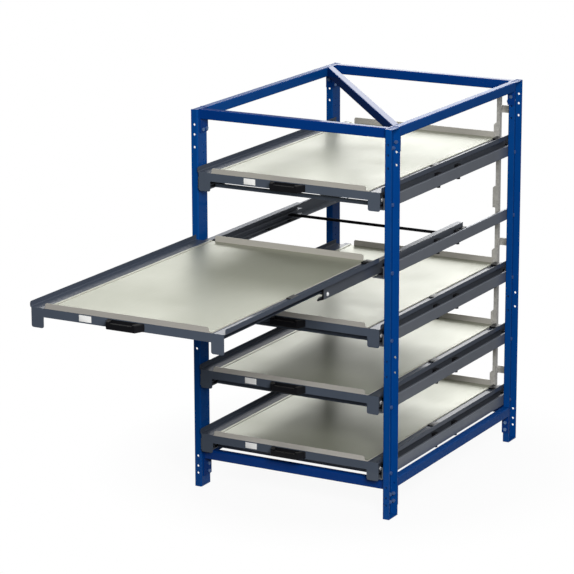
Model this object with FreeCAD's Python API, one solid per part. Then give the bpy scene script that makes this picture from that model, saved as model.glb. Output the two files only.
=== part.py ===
import FreeCAD, Part
import math
import os

from FreeCAD import Vector

# Pull-out shelf rack: an open bolted frame that carries five full-extension trays.
# Millimetres, +Z up, origin on the floor at the centre of the frame's footprint, front towards -Y.
# A piece that comes in left and right hand is drawn on the right (+X) and mirrored.

# Frame
FRAME_WIDTH = 850.0
FRAME_DEPTH = 1160.0
FRAME_HEIGHT = 1500.0

# Posts: channels whose web faces the trays and whose open side faces outwards
POST_FLANGE = 28.0
POST_WEB = 72.0
POST_SHEET = 3.0
POST_BEND = 5.0
FOOT_PLATE = 4.0
CAP_PLATE = 3.0
CAP_RECESS = 1.5
HOLE_DIAMETER = 9.0
FLANGE_HOLE_EDGE = 14.0
FLANGE_HOLES_LOW = (56.0, 85.0, 126.0)
FLANGE_HOLES_MIDDLE = (561.0, 620.0)
FLANGE_HOLES_FROM_TOP = (58.0, 96.0, 145.0)
WEB_HOLE_DIAMETER = 7.0
WEB_HOLE_EDGE = 43.0
WEB_HOLES_ABOVE_TRAY = (36.0, 64.0, 93.0)

# Beams: rectangular tubes with an end plate that hangs below the tube and is bolted to the post
BEAM_WIDTH = 30.0
BEAM_HEIGHT = 38.0
BEAM_WALL = 2.0
BEAM_EDGE = 4.0
BEAM_SETBACK = 16.0
LOW_BEAM_TOP = 150.0
BRACE_CORNER_GAP = 22.0
END_PLATE = 4.0
CROSS_PLATE_WIDTH = 52.0
TOP_PLATE_DROP = 92.0
LOW_PLATE_DROP = 110.0
TOP_BOLT_DROP = 80.0
TOP_BOLT_SPACING = 28.0
TOP_BOLT_EDGE = 16.0
LOW_BOLT_EDGE = 34.0
LOW_BOLT_DROPS = (66.0, 96.0)

# Hexagon bolts
BOLT_DIAMETER = 8.0
BOLT_FLATS = 13.0
BOLT_HEAD = 5.3
NUT_HEIGHT = 6.5
BOLT_TAIL = 3.0

# Trays: level is the top of the tray frame; they are spread evenly between the lowest and the top one
TRAY_COUNT = 5
LOWEST_TRAY = 224.0
TOP_TRAY_DROP = 236.0
OPEN_TRAY = 2
TRAY_TRAVEL = 1140.0
MID_TRAVEL = 425.0
TRAY_SIDE_GAP = 5.0
TRAY_PROUD = 14.0
TRAY_REAR_SETBACK = 50.0
RUN_GAP = 0.4

# Fixed rails, heights counted from the tray's level
RAIL_SHEET = 3.0
RAIL_TOP = -24.0
RAIL_HEIGHT = 44.0
RAIL_LEDGE = 47.0
RAIL_HEM = 9.0
RAIL_BEND = 2.5
RAIL_BOLT_HEIGHT = 10.0
RAIL_BOLT_FRONT = 59.0
RAIL_BOLT_REAR = 14.0

# Flat bar that holds a tray's two fixed rails apart
RAIL_BAR_SETBACK = 51.0
RAIL_BAR_DEPTH = 12.0
RAIL_BAR_HEIGHT = 14.5
RAIL_BAR_EDGE = 1.0

# Plastic glides clipped to the fixed rails
GLIDE_LENGTH = 26.0
GLIDE_FRONT_SETBACK = 55.0
GLIDE_STOP_GAP = 19.0
GLIDE_SPACING = 176.0
GLIDE_INSET = 3.0
GLIDE_ARM_TOP = -20.0
GLIDE_STUD_DIAMETER = 8.0
GLIDE_STUD_HEAD_DIAMETER = 16.0
GLIDE_STUD_HEAD = 10.0
GLIDE_STUD_EDGE = 12.0
STUD_GAP = 0.2

# Middle rails: two stacked channels, open towards the tray
MID_SHEET = 3.0
MID_SIDE_GAP = 23.0
MID_TOP = -6.0
MID_HEIGHT = 46.0
MID_FLANGE = 25.0
MID_LEDGE = -27.0
MID_FRONT_SETBACK = 6.0
MID_REAR_SETBACK = 1.0
MID_HOLE_DIAMETER = 13.0
MID_HOLE_FRONT = 27.0
MID_HOLE_LEVEL = -37.0
MID_GLIDE_LENGTH = 40.0
MID_GLIDE_TOP = -22.0

# Rod that ties the two middle rails of a tray together
SYNC_ROD_DIAMETER = 12.0
SYNC_ROD_REAR = 75.0
SYNC_ROD_LEVEL = -41.0

# Tray frame
SIDE_SHEET = 2.0
SIDE_BEND = 3.0
SIDE_SEAT = 20.0
RIM_TOP = 18.5
RIM_CORNER = 8.0
RUNNER_LEG_GAP = 6.0
RUNNER_TIP_GAP = 4.0
REAR_BAR_DEPTH = 20.0

# Front panel
PANEL_INSET = 6.0
PANEL_SHEET = 2.0
PANEL_HEIGHT = 32.0
TAB_WIDTH = 50.0
TAB_HEIGHT = 72.0
TAB_CORNER = 8.0

# Tray sheet: it lies a little to the right, against its clips
SHEET = 2.0
LIP_HEIGHT = 20.0
REAR_LIP_HEIGHT = 25.0
SHEET_INSET = 50.0
SHEET_SHIFT = 5.0
SHEET_HEM = 12.0
SHEET_HEM_EDGE = 3.0
LIP_LEFT_INSET = 3.0
LIP_RIGHT_INSET = 13.0
REAR_LIP_LEFT_INSET = 26.0
LIP_CORNER = 8.0

# Pull handle
HANDLE_WIDTH = 150.0
HANDLE_FRONT_WIDTH = 116.0
HANDLE_HEIGHT = 28.0
HANDLE_DROP = 2.5
HANDLE_REACH = 36.0
HANDLE_FOOT = 18.0
HANDLE_BAR = 12.0
HANDLE_DIP = 6.0
HANDLE_EDGE = 4.0

# Interlock: one sliding angle bar behind the trays, with a lug for each of them
LOCK_FACE = 14.0
LOCK_LEG = 20.0
LOCK_SHEET = 2.0
LOCK_SIDE_GAP = 58.0
LOCK_REAR_GAP = 4.0
LOCK_TOP_DROP = 55.0
LOCK_BELOW_TRAY = 54.0
LUG_REACH = 12.0
LUG_BOTTOM = -34.0
LUG_HEIGHT = 90.0
LUG_CHAMFER = 9.0
BRACKET_ABOVE_TRAY = {1: 111.0, 3: 83.0, 5: 61.0}
BRACKET_HEIGHT = 30.0
BRACKET_SHEET = 3.0
BRACKET_FOOT = 36.0
BRACKET_FINGER = 14.0
LOCK_GAP = 0.3

# Places worked out from the sizes above
HALF_WIDTH = FRAME_WIDTH / 2
HALF_DEPTH = FRAME_DEPTH / 2
INNER_X = HALF_WIDTH - POST_FLANGE
TRAY_PITCH = (FRAME_HEIGHT - TOP_TRAY_DROP - LOWEST_TRAY) / (TRAY_COUNT - 1)
POST_BACK_Y = HALF_DEPTH - POST_WEB
HOLE_X = HALF_WIDTH - FLANGE_HOLE_EDGE
BEAM_Y = HALF_DEPTH - BEAM_SETBACK - BEAM_WIDTH / 2
SIDE_X = INNER_X - TRAY_SIDE_GAP
PANEL_X = SIDE_X - PANEL_INSET
TRAY_FRONT_Y = -HALF_DEPTH - TRAY_PROUD
TRAY_REAR_Y = HALF_DEPTH - TRAY_REAR_SETBACK
RAIL_IN_X = INNER_X - RAIL_SHEET
RAIL_BOTTOM = RAIL_TOP - RAIL_HEIGHT
MID_OUT_X = RAIL_IN_X - MID_SIDE_GAP
MID_IN_X = MID_OUT_X - MID_SHEET
MID_TIP_X = MID_OUT_X - MID_FLANGE
MID_BOTTOM = MID_TOP - MID_HEIGHT
MID_FRONT_Y = -HALF_DEPTH + MID_FRONT_SETBACK
MID_REAR_Y = HALF_DEPTH - MID_REAR_SETBACK
LEG_X = MID_TIP_X - RUNNER_LEG_GAP - SIDE_SHEET
SIDE_FRONT_Y = TRAY_FRONT_Y + PANEL_SHEET
SHEET_X = PANEL_X - SHEET_INSET
LOCK_X = INNER_X - LOCK_SIDE_GAP
LOCK_Y = HALF_DEPTH - LOCK_REAR_GAP
TOUCH = 1e-6


def tray_level(number):
    """Height of a tray's level; number 1 is the top tray."""
    return LOWEST_TRAY + TRAY_PITCH * (TRAY_COUNT - number)


def box(x0, x1, y0, y1, z0, z1):
    """Box between two corners."""
    return Part.makeBox(x1 - x0, y1 - y0, z1 - z0, Vector(x0, y0, z0))


def fused(first, *others):
    """One solid from touching pieces, with the seams between them removed."""
    return first.fuse(list(others)).removeSplitter().Solids[0]


def rounded(shape, radius, test):
    """Shape with a fillet on each edge whose middle passes the test."""
    return shape.makeFillet(radius, [edge for edge in shape.Edges if test(edge.CenterOfMass)])


def near(a, b):
    """True where two places are the same."""
    return abs(a - b) < TOUCH


def mirror_x(shape):
    """The same piece for the other hand."""
    return shape.mirror(Vector(), Vector(1, 0, 0))


def mirror_y(shape):
    """The same piece for the other end of the frame."""
    return shape.mirror(Vector(), Vector(0, 1, 0))


def both_hands(*shapes):
    """Right-hand pieces followed by their left-hand copies."""
    return list(shapes) + [mirror_x(shape) for shape in shapes]


def all_corners(*shapes):
    """Pieces of the front-right corner, repeated at all four corners."""
    right = list(shapes) + [mirror_y(shape) for shape in shapes]
    return both_hands(*right)


def rod_x(x, y, z, diameter, length):
    """Round rod from a point towards +X."""
    return Part.makeCylinder(diameter / 2, length, Vector(x, y, z), Vector(1, 0, 0))


def rod_y(x, y, z, diameter, length):
    """Round rod from a point towards +Y."""
    return Part.makeCylinder(diameter / 2, length, Vector(x, y, z), Vector(0, 1, 0))


def save(node, shapes):
    """Write one node: a single solid, or a group of like solids."""
    whole = shapes[0] if len(shapes) == 1 else Part.makeCompound(shapes)
    whole.exportStep(f"parts/{node}.step")


def flange_hole_levels():
    """Heights of the holes in the posts' flanges."""
    from_top = [FRAME_HEIGHT - drop for drop in FLANGE_HOLES_FROM_TOP]
    return [*FLANGE_HOLES_LOW, *FLANGE_HOLES_MIDDLE, *from_top]


def rail_bolt_places():
    """Distances along Y of the two bolts that hold each fixed rail."""
    return -HALF_DEPTH + RAIL_BOLT_FRONT, HALF_DEPTH - RAIL_BOLT_REAR


def rail_bolt_level(number):
    """Height of the bolts of a tray's fixed rails."""
    return tray_level(number) + RAIL_BOTTOM + RAIL_BOLT_HEIGHT


def cross_bolt_places():
    """Y and Z of the bolts at a front-right beam end: a level pair on top, an upright pair below."""
    plate_front = -HALF_DEPTH + BEAM_SETBACK
    top_z = FRAME_HEIGHT - TOP_BOLT_DROP
    top_y = plate_front + TOP_BOLT_EDGE
    low_y = plate_front + LOW_BOLT_EDGE
    return [(top_y, top_z), (top_y + TOP_BOLT_SPACING, top_z),
            *((low_y, LOW_BEAM_TOP - drop) for drop in LOW_BOLT_DROPS)]


def post(hand, end):
    """Upright channel; hand +1 is right, end -1 is front."""
    shell = box(INNER_X, HALF_WIDTH, -HALF_DEPTH, -POST_BACK_Y, 0, FRAME_HEIGHT)
    shell = shell.cut(post_hollow(0, FRAME_HEIGHT))
    inner_radius = POST_BEND - POST_SHEET
    shell = rounded(shell, POST_BEND, lambda c: near(c.x, INNER_X) and near(c.z, FRAME_HEIGHT / 2)
                    and (near(c.y, -HALF_DEPTH) or near(c.y, -POST_BACK_Y)))
    shell = rounded(shell, inner_radius, lambda c: near(c.x, INNER_X + POST_SHEET)
                    and near(c.z, FRAME_HEIGHT / 2) and not near(c.y, -(HALF_DEPTH + POST_BACK_Y) / 2))
    drills = [rod_y(HOLE_X, -HALF_DEPTH, z, HOLE_DIAMETER, POST_WEB) for z in flange_hole_levels()]
    drills += [rod_x(INNER_X, y, z, HOLE_DIAMETER, POST_SHEET) for y, z in cross_bolt_places()]
    web_y = -HALF_DEPTH + WEB_HOLE_EDGE
    for number in range(1, TRAY_COUNT + 1):
        for rise in WEB_HOLES_ABOVE_TRAY:
            z = tray_level(number) + rise
            drills.append(rod_x(INNER_X, web_y, z, WEB_HOLE_DIAMETER, POST_SHEET))
    shell = shell.cut(drills)
    if end > 0:
        shell = mirror_y(shell)
    rail_y = rail_bolt_places()[0 if end < 0 else 1]
    levels = [rail_bolt_level(number) for number in range(1, TRAY_COUNT + 1)]
    shell = shell.cut([rod_x(INNER_X, rail_y, z, HOLE_DIAMETER, POST_SHEET) for z in levels])
    solid = shell.Solids[0]
    return solid if hand > 0 else mirror_x(solid)


def post_hollow(z0, z1):
    """Space inside the front-right post's channel between two heights."""
    return box(INNER_X + POST_SHEET, HALF_WIDTH, -HALF_DEPTH + POST_SHEET, -POST_BACK_Y - POST_SHEET, z0, z1)


def post_plates():
    """Foot plate and top cap inside each post."""
    cap_top = FRAME_HEIGHT - CAP_RECESS
    plates = [post_hollow(0, FOOT_PLATE), post_hollow(cap_top - CAP_PLATE, cap_top)]
    inner_radius = POST_BEND - POST_SHEET
    return all_corners(*[rounded(plate, inner_radius, lambda c: near(c.x, INNER_X + POST_SHEET)
                                 and not near(c.y, -(HALF_DEPTH + POST_BACK_Y) / 2))
                         for plate in plates])


def beam(length):
    """Tube along X, centred, with its top face at z = 0."""
    outer = box(-length / 2, length / 2, -BEAM_WIDTH / 2, BEAM_WIDTH / 2, -BEAM_HEIGHT, 0)
    outer = rounded(outer, BEAM_EDGE, lambda c: near(c.x, 0))
    half_bore = BEAM_WIDTH / 2 - BEAM_WALL
    bore = box(-length / 2, length / 2, -half_bore, half_bore, -BEAM_HEIGHT + BEAM_WALL, -BEAM_WALL)
    return outer.cut(bore).Solids[0]


def cross_beam(end, top):
    """Front (-1) or back (+1) beam between the posts' webs."""
    tube = beam(2 * (INNER_X - END_PLATE))
    return tube.translated(Vector(0, end * BEAM_Y, top))


def side_beam(hand, top):
    """Left (-1) or right (+1) beam between the posts' flanges, flush with their outer edges."""
    tube = beam(2 * (POST_BACK_Y - END_PLATE))
    tube.rotate(Vector(), Vector(0, 0, 1), 90)
    return tube.translated(Vector(hand * (HALF_WIDTH - BEAM_WIDTH / 2), 0, top))


def top_brace():
    """Diagonal tube from the back-left to the front-right corner, cut to the side beams."""
    half_x = HALF_WIDTH - BEAM_WIDTH
    half_y = POST_BACK_Y - BRACE_CORNER_GAP
    tube = beam(2 * (half_x + half_y))
    tube.rotate(Vector(), Vector(0, 0, 1), math.degrees(math.atan2(-half_y, half_x)))
    inside = box(-half_x, half_x, -HALF_DEPTH, HALF_DEPTH, -BEAM_HEIGHT, 0)
    return tube.common(inside).Solids[0].translated(Vector(0, 0, FRAME_HEIGHT))


def beam_end_plates():
    """Plates welded to the ends of the beams, drilled for the bolts."""
    plates = []
    cross_front = -HALF_DEPTH + BEAM_SETBACK
    side_in = HALF_WIDTH - BEAM_WIDTH
    drills = [rod_x(INNER_X - END_PLATE, y, z, HOLE_DIAMETER, END_PLATE) for y, z in cross_bolt_places()]
    drills += [rod_y(HOLE_X, -POST_BACK_Y, z, HOLE_DIAMETER, END_PLATE) for z in side_bolt_levels()]
    for top, drop in ((FRAME_HEIGHT, TOP_PLATE_DROP), (LOW_BEAM_TOP, LOW_PLATE_DROP)):
        cross_back = cross_front + CROSS_PLATE_WIDTH
        cross = box(INNER_X - END_PLATE, INNER_X, cross_front, cross_back, top - drop, top)
        side = box(side_in, HALF_WIDTH, -POST_BACK_Y, -POST_BACK_Y + END_PLATE, top - drop, top)
        plates += [cross.cut(drills).Solids[0], side.cut(drills).Solids[0]]
    return all_corners(*plates)


def side_bolt_levels():
    """Heights of the bolts at a side beam's end, in the posts' flange holes."""
    return [FRAME_HEIGHT - FLANGE_HOLES_FROM_TOP[0], *FLANGE_HOLES_LOW[:2]]


def hexagon(height):
    """Hexagonal prism from the origin towards +X."""
    radius = BOLT_FLATS / math.sqrt(3)
    turns = [math.radians(60 * corner) for corner in range(7)]
    outline = Part.makePolygon([Vector(0, radius * math.cos(t), radius * math.sin(t)) for t in turns])
    return Part.Face(outline).extrude(Vector(height, 0, 0))


def bolt(shank):
    """Bolt along +X with its head's seat at the origin."""
    head = hexagon(BOLT_HEAD).translated(Vector(-BOLT_HEAD, 0, 0))
    return fused(head, rod_x(0, 0, 0, BOLT_DIAMETER, shank))


def bolt_and_nut(grip):
    """Bolt along +X through a grip, with its nut behind."""
    nut = hexagon(NUT_HEIGHT).cut(rod_x(0, 0, 0, BOLT_DIAMETER, NUT_HEIGHT)).Solids[0]
    return [bolt(grip + NUT_HEIGHT + BOLT_TAIL), nut.translated(Vector(grip, 0, 0))]


def frame_bolts():
    """Bolts and nuts of the beam ends, and the bolts of the fixed rails."""
    grip = END_PLATE + POST_SHEET
    corner = []
    for y, z in cross_bolt_places():
        corner += [piece.translated(Vector(INNER_X - END_PLATE, y, z)) for piece in bolt_and_nut(grip)]
    for z in side_bolt_levels():
        for piece in bolt_and_nut(grip):
            piece.rotate(Vector(), Vector(0, 0, 1), -90)
            corner.append(piece.translated(Vector(HOLE_X, -POST_BACK_Y + END_PLATE, z)))
    rails = []
    for number in range(1, TRAY_COUNT + 1):
        for y in rail_bolt_places():
            piece = mirror_x(bolt(POST_SHEET + RAIL_SHEET))
            rails.append(piece.translated(Vector(INNER_X + POST_SHEET, y, rail_bolt_level(number))))
    return all_corners(*corner) + both_hands(*rails)


def glide_places():
    """Distances along Y of the glides on a fixed rail; the last stops the drawn-out middle rail's block."""
    block_front = MID_REAR_Y - MID_TRAVEL - MID_GLIDE_LENGTH
    last = block_front - GLIDE_STOP_GAP - GLIDE_LENGTH / 2
    return [-HALF_DEPTH + GLIDE_FRONT_SETBACK, last - GLIDE_SPACING, last]


def glide_stud_x():
    """Middle of the glides' studs, beside the fixed rail's leg."""
    return RAIL_IN_X - GLIDE_STUD_EDGE


def fixed_rails():
    """Angle rails with a hemmed top edge, at level zero."""
    top = RAIL_TOP
    low = RAIL_BOTTOM
    leg = box(RAIL_IN_X, INNER_X, -HALF_DEPTH, HALF_DEPTH, low, top)
    ledge = box(INNER_X - RAIL_LEDGE, INNER_X, -HALF_DEPTH, HALF_DEPTH, low, low + RAIL_SHEET)
    hem = box(INNER_X - RAIL_HEM, INNER_X, -HALF_DEPTH, HALF_DEPTH, top - RAIL_SHEET, top)
    rail = fused(leg, ledge, hem)
    rail = rounded(rail, RAIL_BEND, lambda c: near(c.x, INNER_X) and near(c.y, 0))
    bolt_z = low + RAIL_BOLT_HEIGHT
    drills = [rod_x(RAIL_IN_X, y, bolt_z, HOLE_DIAMETER, RAIL_SHEET) for y in rail_bolt_places()]
    stud_hole = GLIDE_STUD_DIAMETER / 2 + STUD_GAP
    drills += [Part.makeCylinder(stud_hole, RAIL_SHEET, Vector(glide_stud_x(), y, low))
               for y in glide_places()]
    return both_hands(rail.cut(drills).Solids[0])


def rail_bar():
    """Flat bar between the ledges of a tray's fixed rails, near their front end, at level zero."""
    half = INNER_X - RAIL_LEDGE
    front = -HALF_DEPTH + RAIL_BAR_SETBACK
    heights = (RAIL_BOTTOM, RAIL_BOTTOM + RAIL_BAR_HEIGHT)
    bar = box(-half, half, front, front + RAIL_BAR_DEPTH, *heights)
    return rounded(bar, RAIL_BAR_EDGE, lambda c: near(c.x, 0))


def rail_glides():
    """Plastic blocks on one tray's fixed rails: they carry the middle rail and guide its back."""
    low = RAIL_BOTTOM + RAIL_SHEET
    seat = MID_BOTTOM - RUN_GAP
    stud_x = glide_stud_x()
    arm_in = MID_OUT_X + RUN_GAP
    arm_out = INNER_X - RAIL_HEM - RUN_GAP
    glides = []
    for y in glide_places():
        front = y - GLIDE_LENGTH / 2
        back = y + GLIDE_LENGTH / 2
        base = box(INNER_X - RAIL_LEDGE + GLIDE_INSET, RAIL_IN_X, front, back, low, seat)
        arm = box(arm_in, arm_out, front, back, low, GLIDE_ARM_TOP)
        stud = Part.makeCylinder(GLIDE_STUD_DIAMETER / 2, RAIL_SHEET, Vector(stud_x, y, RAIL_BOTTOM))
        head_low = Vector(stud_x, y, RAIL_BOTTOM - GLIDE_STUD_HEAD)
        head = Part.makeCylinder(GLIDE_STUD_HEAD_DIAMETER / 2, GLIDE_STUD_HEAD, head_low)
        glides.append(fused(base, arm, stud, head))
    return both_hands(*glides)


def mid_rails():
    """Double channel rails that carry the tray and run out on the fixed rails."""
    ends = (MID_FRONT_Y, MID_REAR_Y)
    web = box(MID_IN_X, MID_OUT_X, *ends, MID_BOTTOM, MID_TOP)
    tops = (MID_TOP, MID_LEDGE, MID_BOTTOM + MID_SHEET)
    flanges = [box(MID_TIP_X, MID_OUT_X, *ends, top - MID_SHEET, top) for top in tops]
    hole = rod_x(MID_IN_X, MID_FRONT_Y + MID_HOLE_FRONT, MID_HOLE_LEVEL, MID_HOLE_DIAMETER, MID_SHEET)
    return both_hands(fused(web, *flanges).cut(hole).Solids[0])


def mid_glides():
    """Plastic blocks on the rear ends of the middle rails, held down by the fixed rails' hems."""
    ends = (MID_REAR_Y - MID_GLIDE_LENGTH, MID_REAR_Y)
    low = RAIL_BOTTOM + RAIL_SHEET + RUN_GAP
    under_hem = RAIL_TOP - RAIL_SHEET - RUN_GAP
    wide = box(MID_OUT_X, RAIL_IN_X - RUN_GAP, *ends, low, under_hem)
    tall = box(MID_OUT_X, INNER_X - RAIL_HEM - RUN_GAP, *ends, low, MID_GLIDE_TOP)
    return both_hands(fused(wide, tall))


def mid_rod():
    """Rod between the two middle rails, near their rear ends."""
    place = MID_REAR_Y - SYNC_ROD_REAR
    return [rod_x(-MID_IN_X, place, SYNC_ROD_LEVEL, SYNC_ROD_DIAMETER, 2 * MID_IN_X)]


def tray_frame():
    """Side members with a ledge for the sheet and runners in the middle rails, and the rear bar."""
    ends = (SIDE_FRONT_Y, TRAY_REAR_Y)
    tip = MID_IN_X - RUNNER_TIP_GAP
    low = MID_LEDGE + RUN_GAP
    high = MID_TOP - MID_SHEET - RUN_GAP
    rim = box(SIDE_X - SIDE_SHEET, SIDE_X, *ends, -SIDE_SHEET, RIM_TOP)
    rim = rounded(rim, RIM_CORNER, lambda c: near(c.y, SIDE_FRONT_Y) and near(c.z, RIM_TOP))
    ledge = box(SHEET_X - SIDE_SEAT, SIDE_X, *ends, -SIDE_SHEET, 0)
    leg = box(LEG_X, LEG_X + SIDE_SHEET, *ends, low, 0)
    foot = box(LEG_X, tip, *ends, low, low + SIDE_SHEET)
    cap = box(LEG_X, tip, *ends, high - SIDE_SHEET, high)
    side = fused(ledge, rim, leg, foot, cap)
    side = rounded(side, SIDE_BEND, lambda c: near(c.x, SIDE_X - SIDE_SHEET) and near(c.z, 0))
    outer_bend = SIDE_BEND + SIDE_SHEET
    side = rounded(side, outer_bend, lambda c: near(c.x, SIDE_X) and near(c.z, -SIDE_SHEET))
    rear_bar = box(-LEG_X, LEG_X, TRAY_REAR_Y - REAR_BAR_DEPTH, TRAY_REAR_Y, low, 0)
    return both_hands(side) + [rear_bar.cut(both_hands(ledge)).Solids[0]]


def front_panel():
    """Front plate with a tab at each end that hides the rails."""
    ends = (TRAY_FRONT_Y, SIDE_FRONT_Y)
    middle_y = (TRAY_FRONT_Y + SIDE_FRONT_Y) / 2
    strip = box(-PANEL_X, PANEL_X, *ends, -PANEL_HEIGHT, 0)
    tab = box(PANEL_X - TAB_WIDTH, PANEL_X, *ends, -TAB_HEIGHT, 0)
    tab = rounded(tab, TAB_CORNER, lambda c: near(c.z, -TAB_HEIGHT) and near(c.y, middle_y))
    return [fused(strip, *both_hands(tab))]


def lip(left, front, height):
    """Upstand of the tray sheet, with rounded upper corners."""
    middle_y = front + SHEET / 2
    shape = box(left, SHEET_X - LIP_RIGHT_INSET, front, front + SHEET, 0, height)
    return rounded(shape, LIP_CORNER, lambda c: near(c.z, height) and near(c.y, middle_y))


def tray_sheet():
    """Steel sheet on the side members' ledges: hemmed sides, and an upstand at the front and the back."""
    flat = box(-SHEET_X, SHEET_X, TRAY_FRONT_Y, TRAY_REAR_Y, 0, SHEET)
    hem = box(SHEET_X - SHEET_HEM, SHEET_X, TRAY_FRONT_Y, TRAY_REAR_Y, 0, 2 * SHEET)
    hem = rounded(hem, SHEET_HEM_EDGE, lambda c: near(c.x, SHEET_X) and near(c.z, 2 * SHEET))
    front_lip = lip(LIP_LEFT_INSET - SHEET_X, TRAY_FRONT_Y, LIP_HEIGHT)
    rear_lip = lip(REAR_LIP_LEFT_INSET - SHEET_X, TRAY_REAR_Y - SHEET, REAR_LIP_HEIGHT)
    sheet = fused(flat, *both_hands(hem), front_lip, rear_lip)
    return [sheet.translated(Vector(SHEET_SHIFT, 0, 0))]


def handle_plan(half_width, half_front, reach, low, high):
    """Block with a trapezium plan that stands on the front panel."""
    corners = [(-half_width, 0), (-half_front, -reach), (half_front, -reach), (half_width, 0)]
    outline = [Vector(x, TRAY_FRONT_Y + y, low) for x, y in corners + corners[:1]]
    return Part.Face(Part.makePolygon(outline)).extrude(Vector(0, 0, high - low))


def pull_handle():
    """Bow handle: two slanted feet on the front panel and a lower bar between them."""
    high = -HANDLE_DROP
    low = high - HANDLE_HEIGHT
    block = handle_plan(HANDLE_WIDTH / 2, HANDLE_FRONT_WIDTH / 2, HANDLE_REACH, low, high)
    block = rounded(block, HANDLE_EDGE, lambda c: not near(c.y, TRAY_FRONT_Y))
    gap_back = HANDLE_WIDTH / 2 - HANDLE_FOOT
    gap_front = HANDLE_FRONT_WIDTH / 2 - HANDLE_BAR
    gap = handle_plan(gap_back, gap_front, HANDLE_REACH - HANDLE_BAR, low, high)
    bar_front = TRAY_FRONT_Y - HANDLE_REACH
    dip = box(-gap_front, gap_front, bar_front, bar_front + HANDLE_BAR, high - HANDLE_DIP, high)
    return [block.cut([gap, dip]).Solids[0]]


def interlock_bar():
    """Upright angle bar with one lug per tray."""
    top = FRAME_HEIGHT - LOCK_TOP_DROP
    low = tray_level(TRAY_COUNT) - LOCK_BELOW_TRAY
    front = LOCK_Y - LOCK_LEG
    left = LOCK_X - LOCK_FACE
    face = box(left, LOCK_X, front, front + LOCK_SHEET, low, top)
    leg = box(LOCK_X - LOCK_SHEET, LOCK_X, front, LOCK_Y, low, top)
    lugs = []
    for number in range(1, TRAY_COUNT + 1):
        lug_low = tray_level(number) + LUG_BOTTOM
        lug_top = lug_low + LUG_HEIGHT
        tip = left - LUG_REACH
        outline = [(left, lug_low), (tip, lug_low), (tip, lug_top - LUG_CHAMFER),
                   (tip + LUG_CHAMFER, lug_top), (left, lug_top), (left, lug_low)]
        wire = Part.makePolygon([Vector(x, front, z) for x, z in outline])
        lugs.append(Part.Face(wire).extrude(Vector(0, LOCK_SHEET, 0)))
    return [fused(face, leg, *lugs)]


def interlock_brackets():
    """Arms on the back-right post that guide the interlock bar."""
    arm_front = LOCK_Y + LOCK_GAP
    arm_back = arm_front + BRACKET_SHEET
    finger_x = LOCK_X + LOCK_GAP
    brackets = []
    for number, rise in BRACKET_ABOVE_TRAY.items():
        middle = tray_level(number) + rise
        heights = (middle - BRACKET_HEIGHT / 2, middle + BRACKET_HEIGHT / 2)
        arm = box(LOCK_X - LOCK_FACE / 2, INNER_X, arm_front, arm_back, *heights)
        foot = box(INNER_X - BRACKET_SHEET, INNER_X, arm_back - BRACKET_FOOT, arm_back, *heights)
        finger = box(finger_x, finger_x + BRACKET_SHEET, arm_front - BRACKET_FINGER, arm_front, *heights)
        brackets.append(fused(arm, foot, finger))
    return brackets


def main():
    os.makedirs("parts", exist_ok=True)
    hands = {"left": -1, "right": 1}
    ends = {"front": -1, "back": 1}
    for end_name, end in ends.items():
        for hand_name, hand in hands.items():
            save(f"post_{end_name}_{hand_name}", [post(hand, end)])
    for place, top in (("top", FRAME_HEIGHT), ("bottom", LOW_BEAM_TOP)):
        for end_name, end in ends.items():
            save(f"{place}_beam_{end_name}", [cross_beam(end, top)])
        for hand_name, hand in hands.items():
            save(f"{place}_beam_{hand_name}", [side_beam(hand, top)])
    save("top_brace", [top_brace()])
    save("post_plates", post_plates())
    save("beam_end_plates", beam_end_plates())
    save("frame_bolts", frame_bolts())
    save("interlock_bar", interlock_bar())
    save("interlock_brackets", interlock_brackets())

    sets = {
        "fixed_rails": (fixed_rails(), 0),
        "mid_rails": (mid_rails(), MID_TRAVEL),
        "mid_glides": (mid_glides(), MID_TRAVEL),
        "mid_rod": (mid_rod(), MID_TRAVEL),
        "tray_frame": (tray_frame(), TRAY_TRAVEL),
        "front_panel": (front_panel(), TRAY_TRAVEL),
        "tray_sheet": (tray_sheet(), TRAY_TRAVEL),
        "pull_handle": (pull_handle(), TRAY_TRAVEL),
    }
    glides = []
    bars = []
    for number in range(1, TRAY_COUNT + 1):
        level = tray_level(number)
        bars.append(rail_bar().translated(Vector(0, 0, level)))
        glides += [piece.translated(Vector(0, 0, level)) for piece in rail_glides()]
        for name, (pieces, travel) in sets.items():
            forward = travel if number == OPEN_TRAY else 0
            save(f"{name}_{number}", [piece.translated(Vector(0, -forward, level)) for piece in pieces])
    save("rail_bars", bars)
    save("rail_glides", glides)


main()
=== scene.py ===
"""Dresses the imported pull-out tray rack: finishes for its solids, small trim, stage and camera."""
import math

import bpy
import numpy as np
from mathutils import Matrix, Vector


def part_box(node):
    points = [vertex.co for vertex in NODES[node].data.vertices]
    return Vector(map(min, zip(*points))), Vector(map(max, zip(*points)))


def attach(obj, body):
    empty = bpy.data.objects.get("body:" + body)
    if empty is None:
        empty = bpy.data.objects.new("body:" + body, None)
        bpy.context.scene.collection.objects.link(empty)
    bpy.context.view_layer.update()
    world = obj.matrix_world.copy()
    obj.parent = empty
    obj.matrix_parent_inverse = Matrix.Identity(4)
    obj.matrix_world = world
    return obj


bl_info = {
    "name": "Pull-out tray rack",
    "version": (1, 0, 0),
    "blender": (4, 5, 0),
    "location": "3D View > Sidebar > Rack",
    "description": "Finishes and small trim for a bolted rack with pull-out trays",
    "category": "Object",
}

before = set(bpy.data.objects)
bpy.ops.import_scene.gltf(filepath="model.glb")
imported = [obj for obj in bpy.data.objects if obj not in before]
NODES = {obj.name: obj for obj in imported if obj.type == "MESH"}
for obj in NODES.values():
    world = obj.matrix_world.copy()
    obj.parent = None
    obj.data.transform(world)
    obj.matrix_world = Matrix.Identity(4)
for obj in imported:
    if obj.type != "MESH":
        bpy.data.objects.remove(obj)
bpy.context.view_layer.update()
TRAYS = range(1, 6)
SIDES = (-1, 1)
MM = 0.001

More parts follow.
